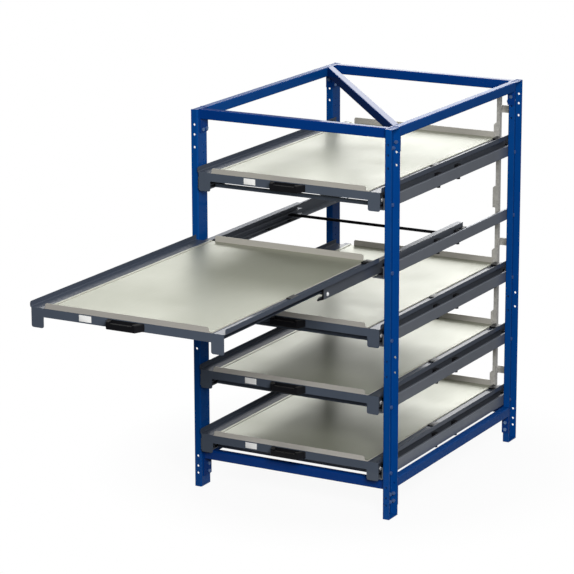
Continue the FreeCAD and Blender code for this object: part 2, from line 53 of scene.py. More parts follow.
# Finishes that several operators share.
ANTHRACITE = "Powder coat, anthracite"
BLACK_PLASTIC = "Polyamide, moulded black"

# Orange peel of a coat: its size and its depth in millimetres.
BLUE_PEEL = (2.5, 0.05)
GREY_PEEL = (1.6, 0.04)
ROD_PEEL = (3, 0.02)

# Sockets of the Mix node: its share, two colours and their blend, two levels and their blend.
MIX_SHARE = 0
MIX_FIRST, MIX_SECOND, MIX_COLOUR = 6, 7, 2
MIX_LOW, MIX_HIGH, MIX_LEVEL = 2, 3, 0

# Axes of a block: across, up and out at the rack's front, or lying flat.
FACING_FRONT = ((1, 0, 0), (0, 0, 1), (0, -1, 0))
LYING_FLAT = ((1, 0, 0), (0, 1, 0), (0, 0, 1))

# Points on a block's rounded corner, the share of its soft edge that the first ring takes, and the
# angle past which an edge stays sharp to the eye.
CORNER_STEPS = 6
EDGE_STEP = 0.3
SHARP_ANGLE = math.radians(35)

# Floor disc in metres, and how white it is to the camera and in a reflection.
FLOOR_RADIUS, FLOOR_HUB, FLOOR_GAP = 1.1, 0.02, 0.5 * MM
FLOOR_FADE_START = 0.75
FLOOR_WHITE, FLOOR_MIRRORED = 0.93, 0.2

# Backdrop that metal sees: axis, where a band starts and is full, and its low and full level.
BACKDROP_BANDS = {
    "behind": ("Y", -0.2, 0.4, 0.3, 1.0),
    "inward": ("X", -0.53, -0.43, 0.0, 1.0),
    "above": ("Z", -0.08, 0.08, 0.0, 1.0),
    "beside": ("X", 0.2, 0.45, 0.0, 0.3),
}
DIM_ROOM = 0.03
FILL_LIGHT = 0.07

# Lamps: place, point aimed at, size in metres, power in watts, and whether metal mirrors the lamp.
LAMPS = {
    "Key softbox": ((3.9, -5.65, 3.85), (0, -0.3, 0.7), 3.0, 490, False),
    "Top softbox": ((-0.4, 0.3, 5.2), (0, -0.3, 0.8), 4.0, 60, True),
    "Back strip": ((-3.1, 10.6, 3.9), (0, 0, 1.0), 5.0, 280, True),
    "High strip": ((-5.6, 7.6, 5.2), (0, -1.0, 1.0), 2.6, 90, True),
}


def linear(hex_colour):
    """sRGB hex to linear RGBA: c / 12.92 up to 0.04045, and ((c + 0.055) / 1.055) ^ 2.4 above."""
    srgb = np.array([int(hex_colour[i:i + 2], 16) for i in (1, 3, 5)]) / 255
    value = np.where(srgb <= 0.04045, srgb / 12.92, ((srgb + 0.055) / 1.055) ** 2.4)
    return (*value.tolist(), 1.0)


def colour(name, description, hex_colour):
    """A colour that a user may change, written as sRGB hex."""
    return bpy.props.FloatVectorProperty(name=name, description=description, subtype="COLOR",
                                         size=4, min=0, max=1, default=linear(hex_colour))


def length(name, description, millimetres):
    """A length that a user may change, written in millimetres and kept in metres."""
    return bpy.props.FloatProperty(name=name, description=description, unit="LENGTH",
                                   default=millimetres * MM)


def angle(name, description, degrees):
    """An angle that a user may change, written in degrees and kept in radians."""
    return bpy.props.FloatProperty(name=name, description=description, unit="ROTATION",
                                   default=math.radians(degrees))


class RackColours(bpy.types.PropertyGroup):
    """Colours of the rack's finishes."""
    blue: colour("Posts", "Coat of the posts and the side beams", "#08488F")
    blue_deep: colour("Posts, thick", "Posts, where the coat is thick", "#064086")
    # Darker copy of the posts' blue for the front and back beams and the brace: painted shade.
    beam: colour("Beams", "Coat of the front and back beams and the brace", "#05387F")
    beam_deep: colour("Beams, thick", "Beams, where the coat is thick", "#043277")
    anthracite: colour("Panels", "Coat of the front panels and the rail bars", "#525A67")
    anthracite_deep: colour("Panels, thick", "Panels, where the coat is thick", "#4A525E")
    # Darker copy of the panels' anthracite for the tray frames: painted shade.
    tray_painted_shade: colour("Tray frames", "Coat of the tray frames", "#474E5B")
    tray_painted_shade_deep: colour("Trays, thick", "Tray frames, where the coat is thick", "#3F4652")
    rail_grey: colour("Fixed rails", "Coat of the fixed rails", "#7B8089")
    rail_grey_deep: colour("Rails, thick", "Fixed rails, where the coat is thick", "#71767F")
    # Darker copy of the fixed rails' grey for the middle rails: painted shade.
    mid_rail_painted_shade: colour("Middle rails", "Coat of the middle rails", "#5E636C")
    mid_rail_painted_shade_deep: colour("Middle, thick", "Middle rails, where the coat is thick", "#555A62")
    sheet: colour("Tray sheet", "Rolled steel of the trays", "#A2A493")
    # Paler colour for every upright face of the tray sheets: painted light on the folded upstands.
    upstand_painted_light: colour("Upstand", "Folded edges of the tray sheets", "#D8D4CC")
    zinc: colour("Bolts", "Blue-passivated zinc plate of bolts and nuts", "#7694C2")
    # Near-white and mostly matt: partly the rivets' bright zinc, partly a painted glint.
    rivet: colour("Rivets", "Bright zinc plate of the rivets", "#FAFAFA")
    galvanised: colour("Interlock", "Hot-dip zinc of the interlock bar", "#D3D1CB")
    galvanised_deep: colour("Interlock, dark spangle", "Darker zinc crystals", "#BBB9B3")
    black: colour("Black plastic", "Handles, glides, clips and end pieces", "#161619")
    black_steel: colour("Black steel", "Rods across the middle rails", "#141416")
    card: colour("Card", "Blank card on each front panel", "#FDFDFB")


class RackTrim(bpy.types.PropertyGroup):
    """Sizes of the small trim."""
    card_width: length("Card width", "Width of the blank card", 50)
    card_height: length("Card height", "Height of the blank card", 23)
    card_place: length("Card place", "Left edge of the card from the panel's left end", 197)
    card_drop: length("Card drop", "Top of the card below the panel's top edge", 4)
    card_thickness: length("Card thickness", "Thickness of the blank card", 0.6)
    plate_width: length("Plate width", "Width of the plate between a handle's feet", 112)
    plate_thickness: length("Plate thickness", "Thickness of the plate behind a handle", 1.5)
    plate_margin: length("Plate margin", "How much lower the plate is than the handle", 1)
    sheet_gap: length("Sheet gap", "Gap between a sheet's right edge and its clips", 1)
    clip_width: length("Clip width", "Width of a sheet clip across the tray", 38)
    clip_length: length("Clip length", "Length of a sheet clip along the tray", 54)
    clip_height: length("Clip height", "Height of a sheet clip above the ledge", 5)
    clip_ahead: length("Clip place", "Middle of a sheet clip ahead of the sheet's middle", 28)
    corner_width: length("Corner width", "Width of the block at the sheet's rear corner", 40)
    corner_length: length("Corner length", "Length of the corner block along the tray", 48)
    corner_height: length("Corner height", "Height of the corner block above the ledge", 9)
    corner_setback: length("Corner place", "Corner block ahead of the sheet's rear edge", 2)
    hook_width: length("End piece width", "Width of the end piece of a middle rail", 5)
    hook_depth: length("End piece depth", "Thickness of the end piece of a middle rail", 6)
    arm_length: length("Arm length", "Length of the end piece's arm under the tray's runner", 44)
    arm_thickness: length("Arm thickness", "Thickness of the end piece's arm", 5)
    arm_drop: length("Arm drop", "Top of the arm below the top of the rail", 21.6)
    tongue_length: length("Tongue length", "Length of the end piece's tongue below the arm", 24)
    tongue_thickness: length("Tongue thickness", "Thickness of the end piece's tongue", 7)
    tongue_droop: angle("Tongue droop", "Angle of the tongue below level", 20)
    rivet_width: length("Rivet width", "Diameter of the rivet of a middle rail", 15)
    rivet_height: length("Rivet height", "How far the rivet's dome stands proud of the rail", 5)
    rivet_back: length("Rivet place", "Middle of the rivet behind the rail's front end", 27)
    rivet_drop: length("Rivet drop", "Middle of the rivet below the top of the rail", 31)


def add_node(tree, kind, sockets=(), **settings):
    """Adds one node; sockets maps an input to a value, or to (node, output) for a link."""
    made = tree.nodes.new(kind)
    for key, value in settings.items():
        setattr(made, key, value)
    for key, value in dict(sockets).items():
        if isinstance(value, tuple) and isinstance(value[0], bpy.types.Node):
            tree.links.new(value[0].outputs[value[1]], made.inputs[key])
        else:
            made.inputs[key].default_value = value
    return made


def new_finish(name):
    """Empty material, its node tree and its texture coordinates."""
    material = bpy.data.materials.new(name)
    material.use_nodes = True
    tree = material.node_tree
    tree.nodes.clear()
    return material, tree, add_node(tree, "ShaderNodeTexCoord")


def per_metre(millimetres):
    """Texture scale on Object coordinates for a pattern that repeats every so many millimetres."""
    return 1 / (millimetres * MM)


def powder_coat(name, pale, deep, peel, roughness, skin, skin_ior, flake=0.0, shine=0.03):
    """Powder-coated steel, sprayed and baked: an even colour that deepens a little where the coat
    ran thick, with orange peel, under a smooth skin that mirrors what it is seen against at a low
    angle. Metal flake in the powder adds a soft metallic sheen."""
    drift_mm, gloss_spread = 90, 0.05
    peel_mm, peel_depth_mm = peel
    material, tree, place = new_finish(name)
    drift = add_node(tree, "ShaderNodeTexNoise", {
        "Vector": (place, "Object"), "Scale": per_metre(drift_mm), "Detail": 3.0})
    shade = add_node(tree, "ShaderNodeMix", {
        MIX_SHARE: (drift, "Fac"), MIX_FIRST: tuple(pale), MIX_SECOND: tuple(deep)},
        data_type="RGBA")
    gloss = add_node(tree, "ShaderNodeMapRange", {
        "Value": (drift, "Fac"),
        "To Min": roughness - gloss_spread, "To Max": roughness + gloss_spread})
    grain = add_node(tree, "ShaderNodeTexNoise", {
        "Vector": (place, "Object"), "Scale": per_metre(peel_mm), "Detail": 2.0})
    bump = add_node(tree, "ShaderNodeBump", {
        "Height": (grain, "Fac"), "Strength": 0.6, "Distance": peel_depth_mm * MM})
    shader = add_node(tree, "ShaderNodeBsdfPrincipled", {
        "Base Color": (shade, MIX_COLOUR), "Metallic": flake, "Roughness": (gloss, "Result"),
        "Normal": (bump, "Normal"), "Specular IOR Level": shine,
        "Coat Weight": skin, "Coat IOR": skin_ior, "Coat Roughness": 0.06})
    add_node(tree, "ShaderNodeOutputMaterial", {"Surface": (shader, "BSDF")})
    return material


def rolled_steel(name, face, upstand_painted_light):
    """Cold-rolled steel sheet, oiled: a soft mirror with fine streaks along the rolling direction,
    and duller metal on the folded upstands, which like every upright face get a paler colour as
    painted light. The streaks are drawn wider than real ones, so that they show."""
    streak_mm, streak_length_mm, cloud_mm = 2, 160, 220
    upstand_dulling, streak_depth_mm = 0.2, 0.02
    material, tree, place = new_finish(name)
    along = add_node(tree, "ShaderNodeMapping", {
        "Vector": (place, "Object"),
        "Scale": (per_metre(streak_mm), per_metre(streak_length_mm), per_metre(streak_mm))})
    streak = add_node(tree, "ShaderNodeTexNoise", {
        "Vector": (along, "Vector"), "Scale": 1.0, "Detail": 4.0})
    cloud = add_node(tree, "ShaderNodeTexNoise", {
        "Vector": (place, "Object"), "Scale": per_metre(cloud_mm), "Detail": 2.0})
    surface = add_node(tree, "ShaderNodeNewGeometry")
    split = add_node(tree, "ShaderNodeSeparateXYZ", {"Vector": (surface, "Normal")})
    level = add_node(tree, "ShaderNodeMath", {0: (split, "Z")}, operation="ABSOLUTE")
    upright = add_node(tree, "ShaderNodeMapRange", {
        "Value": (level, 0), "From Min": 0.3, "From Max": 0.7, "To Min": 1.0, "To Max": 0.0})
    # Upright faces, the folded upstands among them, take the paler colour: painted light.
    shade = add_node(tree, "ShaderNodeMix", {
        MIX_SHARE: (upright, "Result"), MIX_FIRST: tuple(face), MIX_SECOND: tuple(upstand_painted_light)},
        data_type="RGBA")
    mixed = add_node(tree, "ShaderNodeMath", {0: (streak, "Fac"), 1: (cloud, "Fac")},
                     operation="ADD")
    polish = add_node(tree, "ShaderNodeMapRange", {
        "Value": (mixed, 0), "From Min": 0.6, "From Max": 1.4, "To Min": 0.34, "To Max": 0.46})
    rough = add_node(tree, "ShaderNodeMath", {
        0: (upright, "Result"), 1: upstand_dulling, 2: (polish, "Result")},
        operation="MULTIPLY_ADD")
    metal = add_node(tree, "ShaderNodeMapRange", {
        "Value": (upright, "Result"), "To Min": 0.38, "To Max": 0.46})
    bump = add_node(tree, "ShaderNodeBump", {
        "Height": (streak, "Fac"), "Strength": 0.15, "Distance": streak_depth_mm * MM})
    shader = add_node(tree, "ShaderNodeBsdfPrincipled", {
        "Base Color": (shade, MIX_COLOUR), "Metallic": (metal, "Result"), "Roughness": (rough, 0),
        "Normal": (bump, "Normal")})
    add_node(tree, "ShaderNodeOutputMaterial", {"Surface": (shader, "BSDF")})
    return material


def plated_zinc(name, bright, metal):
    """Zinc-plated steel: a metal with the tint of its bath, which clouds its sheen slightly."""
    cloud_mm = 4
    material, tree, place = new_finish(name)
    cloud = add_node(tree, "ShaderNodeTexNoise", {
        "Vector": (place, "Object"), "Scale": per_metre(cloud_mm), "Detail": 3.0})
    rough = add_node(tree, "ShaderNodeMapRange", {
        "Value": (cloud, "Fac"), "To Min": 0.2, "To Max": 0.45})
    shader = add_node(tree, "ShaderNodeBsdfPrincipled", {
        "Base Color": tuple(bright), "Metallic": metal, "Roughness": (rough, "Result")})
    add_node(tree, "ShaderNodeOutputMaterial", {"Surface": (shader, "BSDF")})
    return material


def galvanised_steel(name, bright, deep):
    """Hot-dip galvanised steel: flat zinc crystals, each with a grey and a sheen of its own."""
    spangle_mm = 8
    material, tree, place = new_finish(name)
    spangle = add_node(tree, "ShaderNodeTexVoronoi", {
        "Vector": (place, "Object"), "Scale": per_metre(spangle_mm)})
    grey = add_node(tree, "ShaderNodeSeparateColor", {"Color": (spangle, "Color")})
    shade = add_node(tree, "ShaderNodeMix", {
        MIX_SHARE: (grey, "Red"), MIX_FIRST: tuple(bright), MIX_SECOND: tuple(deep)},
        data_type="RGBA")
    rough = add_node(tree, "ShaderNodeMapRange", {
        "Value": (grey, "Green"), "To Min": 0.38, "To Max": 0.55})
    shader = add_node(tree, "ShaderNodeBsdfPrincipled", {
        "Base Color": (shade, MIX_COLOUR), "Metallic": 0.3, "Roughness": (rough, "Result")})
    add_node(tree, "ShaderNodeOutputMaterial", {"Surface": (shader, "BSDF")})
    return material


def moulded_plastic(name, tone):
    """Injection-moulded polyamide: one colour, with the tool's fine grain in its sheen, drawn a
    little coarser than the real one so that it shows."""
    grain_mm, grain_depth_mm, roughness, sheen_spread = 0.9, 0.04, 0.42, 0.08
    material, tree, place = new_finish(name)
    grain = add_node(tree, "ShaderNodeTexNoise", {
        "Vector": (place, "Object"), "Scale": per_metre(grain_mm), "Detail": 2.0})
    rough = add_node(tree, "ShaderNodeMapRange", {
        "Value": (grain, "Fac"),
        "To Min": roughness - sheen_spread, "To Max": roughness + sheen_spread})
    bump = add_node(tree, "ShaderNodeBump", {
        "Height": (grain, "Fac"), "Strength": 0.5, "Distance": grain_depth_mm * MM})
    shader = add_node(tree, "ShaderNodeBsdfPrincipled", {
        "Base Color": tuple(tone), "Roughness": (rough, "Result"), "Normal": (bump, "Normal"),
        "Specular IOR Level": 0.2})
    add_node(tree, "ShaderNodeOutputMaterial", {"Surface": (shader, "BSDF")})
    return material


def card_stock(name, tone):
    """Uncoated white card: matt, with faint fibre clouds, drawn coarse enough to show."""
    fibre_mm, fibre_shade = 3, 0.9
    grey = (*(fibre_shade * channel for channel in tone[:3]), 1.0)
    material, tree, place = new_finish(name)
    fibre = add_node(tree, "ShaderNodeTexNoise", {
        "Vector": (place, "Object"), "Scale": per_metre(fibre_mm), "Detail": 5.0})
    shade = add_node(tree, "ShaderNodeMix", {
        MIX_SHARE: (fibre, "Fac"), MIX_FIRST: tuple(tone), MIX_SECOND: grey}, data_type="RGBA")
    shader = add_node(tree, "ShaderNodeBsdfPrincipled", {
        "Base Color": (shade, MIX_COLOUR), "Roughness": 0.8})
    add_node(tree, "ShaderNodeOutputMaterial", {"Surface": (shader, "BSDF")})
    return material


def dress(material, *names):
    """Gives a finish to CAD nodes through their material slots."""
    for name in names:
        for slot in NODES[name].material_slots:
            slot.material = material


def ring_faces(rings, around):
    """Faces over a stack of closed rings: quads between neighbours, and a cap on each end ring."""
    here = np.arange((rings - 1) * around).reshape(-1, around)
    beside = np.roll(here, -1, axis=1)
    quads = np.stack([here, beside, beside + around, here + around], axis=-1).reshape(-1, 4)
    ring = np.arange(around)
    return quads, np.stack([ring[::-1], ring + (rings - 1) * around])


def outline(width, height, radius):
    """Rounded rectangle about the origin: corner centre plus radius times (cos t, sin t)."""
    turn = (np.arange(4 * CORNER_STEPS) + 0.5) * math.pi / (2 * CORNER_STEPS)
    across = np.sign(np.cos(turn)) * (width / 2 - radius) + radius * np.cos(turn)
    up = np.sign(np.sin(turn)) * (height / 2 - radius) + radius * np.sin(turn)
    return np.stack([across, up], axis=1)


def block(size, origin, axes, radius, edge, taper=0.0):
    """Soft-edged block: a stack of rounded rectangles, drawn in by the edge at both ends.

    Point (u, v, w) goes to origin + u * U + v * V + w * W; the taper lowers w along u.
    Returns the points, the quads and the two end caps.
    """
    width, height, depth = size
    step = edge * EDGE_STEP
    draws = (edge, step, 0, 0, step, edge)
    levels = (0, step, edge, depth - edge, depth - step, depth)
    rings = [outline(width - 2 * draw, height - 2 * draw, radius) for draw in draws]
    local = np.stack([np.column_stack([ring, np.full(len(ring), level)])
                      for ring, level in zip(rings, levels)])
    local[..., 2] *= 1 - taper * (local[..., 0] / width + 0.5)
    axes = np.asarray(axes, float)
    points = np.asarray(origin) + local @ axes
    quads, caps = ring_faces(*local.shape[:2])
    if np.linalg.det(axes) < 0:
        quads, caps = quads[:, ::-1], caps[:, ::-1]
    return points.reshape(-1, 3), quads, caps


def make_piece(name, parts, body, material):
    """One object from one or more closed forms, riding on a body."""
    points, faces, start = [], [], 0
    for part_points, quads, caps in parts:
        faces += (quads + start).tolist() + (caps + start).tolist()
        points.append(part_points)
        start += len(part_points)
    mesh = bpy.data.meshes.new(name)
    mesh.from_pydata(np.concatenate(points).tolist(), [], faces)
    mesh.shade_smooth()
    mesh.set_sharp_from_angle(angle=SHARP_ANGLE)
    mesh.materials.append(material)
    made = bpy.data.objects.new(name, mesh)
    bpy.context.scene.collection.objects.link(made)
    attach(made, body)


class RACK_OT_frame(bpy.types.Operator):
    """Coats posts, beams, brace and plates"""
    bl_idname = "rack.frame"
    bl_label = "Frame"

    def execute(self, context):
        colours = context.scene.rack_colours
        post = (colours.blue, colours.blue_deep, BLUE_PEEL)
        beam = (colours.beam, colours.beam_deep, BLUE_PEEL)
        blue = powder_coat("Powder coat, gloss blue", *post,
                           roughness=0.26, skin=0.4, skin_ior=1.25)
        # The darker blue on the front and back beams and the brace is painted shade.
        deep = powder_coat("Powder coat, deep blue", *beam,
                           roughness=0.26, skin=0.48, skin_ior=1.25, shine=0.0)
        mid = powder_coat("Powder coat, mid blue", *post,
                          roughness=0.26, skin=0.0, skin_ior=1.1)
        satin = powder_coat("Powder coat, satin blue", *post,
                            roughness=0.4, skin=0.1, skin_ior=1.25)
        dress(blue, *[name for name in NODES if name.startswith("post")])
        dress(satin, "post_plates")
        dress(deep, *[name for name in NODES if "beam" in name or name == "top_brace"])
        for level in ("top", "bottom"):
            dress(mid, f"{level}_beam_left", f"{level}_beam_right")
        return {"FINISHED"}


class RACK_OT_bolts(bpy.types.Operator):
    """Plates the bolts and the nuts"""
    bl_idname = "rack.bolts"
    bl_label = "Bolts"

    def execute(self, context):
        tint = context.scene.rack_colours.zinc
        dress(plated_zinc("Zinc plate, blue-passivated", tint, metal=0.65), "frame_bolts")
        return {"FINISHED"}


class RACK_OT_interlock(bpy.types.Operator):
    """Galvanises the interlock bar and its brackets"""
    bl_idname = "rack.interlock"
    bl_label = "Interlock"

    def execute(self, context):
        colours = context.scene.rack_colours
        zinc = galvanised_steel("Hot-dip zinc, spangled",
                                colours.galvanised, colours.galvanised_deep)
        dress(zinc, "interlock_bar", "interlock_brackets")
        return {"FINISHED"}


class RACK_OT_rails(bpy.types.Operator):
    """Finishes the rails, their glides and the bars and rods between them"""
    bl_idname = "rack.rails"
    bl_label = "Rails"

    def execute(self, context):
        colours = context.scene.rack_colours
        metallic = {"roughness": 0.38, "skin": 0.1, "skin_ior": 1.4, "flake": 0.4}
        fixed = powder_coat("Powder coat, metallic grey",
                            colours.rail_grey, colours.rail_grey_deep, GREY_PEEL, **metallic)
        # The middle rails' darker grey is painted shade.
        middle = powder_coat("Powder coat, metallic dark grey",
                             colours.mid_rail_painted_shade, colours.mid_rail_painted_shade_deep, GREY_PEEL, **metallic)
        dark = powder_coat(ANTHRACITE, colours.anthracite, colours.anthracite_deep, GREY_PEEL,
                           roughness=0.4, skin=0.48, skin_ior=1.4)
        black = powder_coat("Powder coat, satin black",
                            colours.black_steel, colours.black, ROD_PEEL,
                            roughness=0.36, skin=0.0, skin_ior=1.4)
        plastic = moulded_plastic(BLACK_PLASTIC, colours.black)
        dress(plastic, "rail_glides")
        dress(dark, "rail_bars")
        for number in TRAYS:
            dress(fixed, f"fixed_rails_{number}")
            dress(middle, f"mid_rails_{number}")
            dress(plastic, f"mid_glides_{number}")
            dress(black, f"mid_rod_{number}")
        return {"FINISHED"}


class RACK_OT_trays(bpy.types.Operator):
    """Finishes tray frames, front panels, sheets and handles"""
    bl_idname = "rack.trays"
    bl_label = "Trays"

    def execute(self, context):
        colours = context.scene.rack_colours
        panel = bpy.data.materials[ANTHRACITE]
        plastic = bpy.data.materials[BLACK_PLASTIC]
        # The tray frames' darker grey is painted shade.
        grey = powder_coat("Powder coat, gloss grey", colours.tray_painted_shade, colours.tray_painted_shade_deep,
                           GREY_PEEL, roughness=0.4, skin=0.38, skin_ior=1.4)
        steel = rolled_steel("Rolled steel sheet", colours.sheet, colours.upstand_painted_light)
        for number in TRAYS:
            dress(grey, f"tray_frame_{number}")
            dress(panel, f"front_panel_{number}")
            dress(steel, f"tray_sheet_{number}")
            dress(plastic, f"pull_handle_{number}")
        return {"FINISHED"}


class RACK_OT_cards(bpy.types.Operator):
    """Puts a blank card on each front panel"""
    bl_idname = "rack.cards"
    bl_label = "Cards"

    def execute(self, context):
        trim = context.scene.rack_trim
        paper = card_stock("Card, uncoated white", context.scene.rack_colours.card)
        size = (trim.card_width, trim.card_height, trim.card_thickness)
        for number in TRAYS:
            low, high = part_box(f"front_panel_{number}")
            middle = (low.x + trim.card_place + trim.card_width / 2, low.y,
                      high.z - trim.card_drop - trim.card_height / 2)
            card = block(size, middle, FACING_FRONT, radius=1 * MM, edge=0.2 * MM)
            make_piece(f"card_{number}", [card], f"tray_{number}", paper)
        return {"FINISHED"}


class RACK_OT_plates(bpy.types.Operator):
    """Puts the moulded plate between the feet of each handle"""
    bl_idname = "rack.plates"
    bl_label = "Handle plates"

    def execute(self, context):
        trim = context.scene.rack_trim
        plastic = bpy.data.materials[BLACK_PLASTIC]
        for number in TRAYS:
            low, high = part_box(f"pull_handle_{number}")
            size = (trim.plate_width, high.z - low.z - trim.plate_margin, trim.plate_thickness)
            middle = ((low.x + high.x) / 2, high.y, (low.z + high.z) / 2)
            plate = block(size, middle, FACING_FRONT, radius=2 * MM, edge=0.4 * MM)
            make_piece(f"handle_plate_{number}", [plate], f"tray_{number}", plastic)
        return {"FINISHED"}


class RACK_OT_clips(bpy.types.Operator):
    """Puts a black clip and a corner block beside the right edge of each tray sheet"""
    bl_idname = "rack.clips"
    bl_label = "Sheet clips"

    def execute(self, context):
        trim = context.scene.rack_trim
        plastic = bpy.data.materials[BLACK_PLASTIC]
        clip_size = (trim.clip_width, trim.clip_length, trim.clip_height)
        corner_size = (trim.corner_width, trim.corner_length, trim.corner_height)
        for number in TRAYS:
            low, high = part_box(f"tray_sheet_{number}")
            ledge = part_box(f"front_panel_{number}")[1].z
            beside = high.x + trim.sheet_gap
            clip_place = (beside + trim.clip_width / 2,
                          (low.y + high.y) / 2 - trim.clip_ahead, ledge)
            clip = block(clip_size, clip_place, LYING_FLAT, radius=3 * MM, edge=1 * MM, taper=0.4)
            make_piece(f"sheet_clip_{number}", [clip], f"tray_{number}", plastic)
            corner_place = (beside + trim.corner_width / 2,
                            high.y - trim.corner_setback - trim.corner_length / 2, ledge)
            corner = block(corner_size, corner_place, LYING_FLAT,
                           radius=4 * MM, edge=1.5 * MM, taper=0.3)
            make_piece(f"sheet_corner_{number}", [corner], f"tray_{number}", plastic)
        return {"FINISHED"}


class RACK_OT_hooks(bpy.types.Operator):
    """Puts the black end pieces on the front of the middle rails"""
    bl_idname = "rack.hooks"
    bl_label = "Rail end pieces"

    def execute(self, context):
        trim = context.scene.rack_trim
        plastic = bpy.data.materials[BLACK_PLASTIC]
        for number in TRAYS:
            low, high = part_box(f"mid_rails_{number}")
            parts = [part for side in SIDES for part in self.end_piece(trim, side, low, high)]
            make_piece(f"rail_hooks_{number}", parts, f"mid_{number}", plastic)
        return {"FINISHED"}

    def end_piece(self, trim, side, low, high):
        """Upright plate on the rail's end, a level arm under the runner, and a tongue that droops
        from the plate's foot: inward by (cos a, -sin a) for the droop a."""
        edge = 0.6 * MM
        plate_x = side * (high.x - trim.hook_width / 2)
        plate = block((trim.hook_width, high.z - low.z, trim.hook_depth),
                      (plate_x, low.y, (low.z + high.z) / 2),
                      FACING_FRONT, radius=1.5 * MM, edge=edge)
        arm = block((trim.arm_length, trim.arm_thickness, trim.hook_depth),
                    (side * (high.x - trim.arm_length / 2), low.y,
                     high.z - trim.arm_drop - trim.arm_thickness / 2),
                    FACING_FRONT, radius=1.5 * MM, edge=edge)
        droop = trim.tongue_droop
        inward = Vector((-side * math.cos(droop), 0, -math.sin(droop)))
        across = Vector((-side * math.sin(droop), 0, math.cos(droop)))
        foot = Vector((plate_x, low.y, low.z + trim.tongue_thickness / 2))
        tongue = block((trim.tongue_length, trim.tongue_thickness, trim.hook_depth),
                       foot + inward * trim.tongue_length / 2,
                       (inward, across, (0, -1, 0)), radius=2 * MM, edge=edge)
        return plate, arm, tongue


class RACK_OT_rivets(bpy.types.Operator):
    """Puts the zinc rivet in the front hole of each middle rail"""
    bl_idname = "rack.rivets"
    bl_label = "Rail rivets"

    def execute(self, context):
        trim = context.scene.rack_trim
        # Near-white zinc with little metal: a bright rivet with a painted glint.
        zinc = plated_zinc("Zinc plate, bright", context.scene.rack_colours.rivet, metal=0.2)
        for number in TRAYS:
            low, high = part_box(f"mid_rails_{number}")
            hole = (low.y + trim.rivet_back, high.z - trim.rivet_drop)
            parts = [self.dome(trim, side, side * high.x, *hole) for side in SIDES]
            make_piece(f"rail_rivets_{number}", parts, f"mid_{number}", zinc)
        return {"FINISHED"}

    def dome(self, trim, side, x, y, z):
        """Domed head on the outer face: radius R sin t, height H cos t, for t from a quarter turn
        at the rim almost to 0 at the tip, which a small cap closes."""
        rings, around, tip = 9, 32, 0.06
        rise, turn = np.meshgrid(np.linspace(1, tip, rings) * math.pi / 2,
                                 np.arange(around) * 2 * math.pi / around, indexing="ij")
        radius = trim.rivet_width / 2 * np.sin(rise)
        points = np.stack([x + side * trim.rivet_height * np.cos(rise),
                           y + side * radius * np.cos(turn),
                           z + radius * np.sin(turn)], axis=-1)
        return points.reshape(-1, 3), *ring_faces(rings, around)


